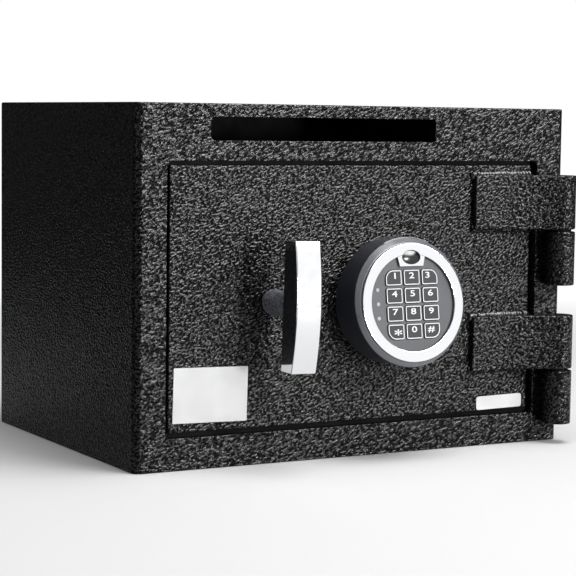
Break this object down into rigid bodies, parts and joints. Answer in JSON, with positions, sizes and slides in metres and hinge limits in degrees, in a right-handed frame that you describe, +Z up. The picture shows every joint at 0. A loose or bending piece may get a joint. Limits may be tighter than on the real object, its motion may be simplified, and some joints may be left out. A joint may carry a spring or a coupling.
{
  "type": "drop safe",
  "caption": "Front-loading drop safe: steel cabinet with a mail slot and chute, a plate door on outside barrel hinges, a bar handle that drives locking bolts, and a round keypad.",
  "frame": {"origin": "centre of the cabinet's underside", "axes": "+X to the right as seen from the front, -Y out of the front, +Z up"},
  "size_m": [0.3538, 0.3, 0.25],
  "materials": {
    "coat": "wrinkled black powder coat",
    "bare_steel": "satin, zinc plated",
    "brass": "turned",
    "label_film": "bare self-adhesive film",
    "lock_plastic": "moulded",
    "black_plastic": "satin moulded",
    "chrome": "polished",
    "panel_grey": "printed membrane",
    "lens_black": "glossy",
    "light_grey": "translucent",
    "board_green": "solder mask",
    "battery_case": "printed sleeve",
    "black_enamel": "smooth black enamel",
    "key_rubber": "satin"
  },
  "bodies": {
    "cabinet": {"front_shell": "coat", "top_panel": "coat", "floor_panel": "coat", "rear_panel": "coat", "chute_tray": "coat", "anti_fish_plate": "bare_steel", "upper_door_stop": "coat", "lower_door_stop": "coat", "upper_body_knuckle": "coat", "lower_body_knuckle": "coat", "hinge_pins": "bare_steel", "hinge_washers": "bare_steel"},
    "door": {"door_plate": "coat", "upper_hinge_arm": "coat", "lower_hinge_arm": "coat", "dead_bar": "coat", "bolt_guide": "coat", "door_back_cover": "coat", "cover_posts": "bare_steel", "back_cover_screws": "bare_steel", "spindle_bush": "brass", "door_label": "label_film", "serial_label": "label_film", "lock_case": "lock_plastic", "lock_case_lid": "lock_plastic", "lock_motor": "bare_steel", "lock_screws": "bare_steel", "keypad_cable": "black_plastic", "keypad_base": "black_plastic", "keypad_screws": "bare_steel", "keypad_housing": "black_plastic", "keypad_ring": "chrome", "keypad_panel": "panel_grey", "keypad_lens": "lens_black", "keypad_lights": "light_grey", "keypad_board": "board_green", "keypad_battery": "battery_case"},
    "handle": {"handle_core": "black_enamel", "handle_cover": "chrome", "handle_spindle": "bare_steel", "cam_disc": "bare_steel", "cam_pin": "bare_steel", "retaining_ring": "bare_steel"},
    "boltwork": {"bolt_carriage": "bare_steel", "locking_bolts": "bare_steel", "follower_pin": "bare_steel"},
    "lock_bolt": {"lock_bolt": "bare_steel"},
    "key_1_body": {"key_1": "key_rubber"},
    "key_2_body": {"key_2": "key_rubber"},
    "key_3_body": {"key_3": "key_rubber"},
    "key_4_body": {"key_4": "key_rubber"},
    "key_5_body": {"key_5": "key_rubber"},
    "key_6_body": {"key_6": "key_rubber"},
    "key_7_body": {"key_7": "key_rubber"},
    "key_8_body": {"key_8": "key_rubber"},
    "key_9_body": {"key_9": "key_rubber"},
    "key_star_body": {"key_star": "key_rubber"},
    "key_0_body": {"key_0": "key_rubber"},
    "key_hash_body": {"key_hash": "key_rubber"}
  },
  "joints": [
    {"name": "door_hinge", "type": "hinge", "parent": "cabinet", "child": "door", "pos_m": [0.1665, -0.1365, 0.1], "axis": [0, 0, 1], "range_deg": [0, 180]},
    {"name": "handle_turn", "type": "hinge", "parent": "door", "child": "handle", "pos_m": [-0.071, -0.1245, 0.1133], "axis": [0, -1, 0], "range_deg": [0, 90]},
    {"name": "bolt_throw", "type": "slide", "parent": "door", "child": "boltwork", "axis": [-1, 0, 0], "range_m": [0, 0.016]},
    {"name": "lock_slide", "type": "slide", "parent": "door", "child": "lock_bolt", "axis": [0, 0, 1], "range_m": [0, 0.008]},
    {"name": "press_1", "type": "slide", "parent": "door", "child": "key_1_body", "axis": [0, 0.991, -0.134], "range_m": [0, 0.001], "stiffness_N_per_m": 300},
    {"name": "press_2", "type": "slide", "parent": "door", "child": "key_2_body", "axis": [0, 0.991, -0.134], "range_m": [0, 0.001], "stiffness_N_per_m": 300},
    {"name": "press_3", "type": "slide", "parent": "door", "child": "key_3_body", "axis": [0, 0.991, -0.134], "range_m": [0, 0.001], "stiffness_N_per_m": 300},
    {"name": "press_4", "type": "slide", "parent": "door", "child": "key_4_body", "axis": [0, 0.991, -0.134], "range_m": [0, 0.001], "stiffness_N_per_m": 300},
    {"name": "press_5", "type": "slide", "parent": "door", "child": "key_5_body", "axis": [0, 0.991, -0.134], "range_m": [0, 0.001], "stiffness_N_per_m": 300},
    {"name": "press_6", "type": "slide", "parent": "door", "child": "key_6_body", "axis": [0, 0.991, -0.134], "range_m": [0, 0.001], "stiffness_N_per_m": 300},
    {"name": "press_7", "type": "slide", "parent": "door", "child": "key_7_body", "axis": [0, 0.991, -0.134], "range_m": [0, 0.001], "stiffness_N_per_m": 300},
    {"name": "press_8", "type": "slide", "parent": "door", "child": "key_8_body", "axis": [0, 0.991, -0.134], "range_m": [0, 0.001], "stiffness_N_per_m": 300},
    {"name": "press_9", "type": "slide", "parent": "door", "child": "key_9_body", "axis": [0, 0.991, -0.134], "range_m": [0, 0.001], "stiffness_N_per_m": 300},
    {"name": "press_star", "type": "slide", "parent": "door", "child": "key_star_body", "axis": [0, 0.991, -0.134], "range_m": [0, 0.001], "stiffness_N_per_m": 300},
    {"name": "press_0", "type": "slide", "parent": "door", "child": "key_0_body", "axis": [0, 0.991, -0.134], "range_m": [0, 0.001], "stiffness_N_per_m": 300},
    {"name": "press_hash", "type": "slide", "parent": "door", "child": "key_hash_body", "axis": [0, 0.991, -0.134], "range_m": [0, 0.001], "stiffness_N_per_m": 300}
  ],
  "couplings": [
    {"joint": "bolt_throw", "follows": "handle_turn", "m_per_rad": 0.010186}
  ]
}
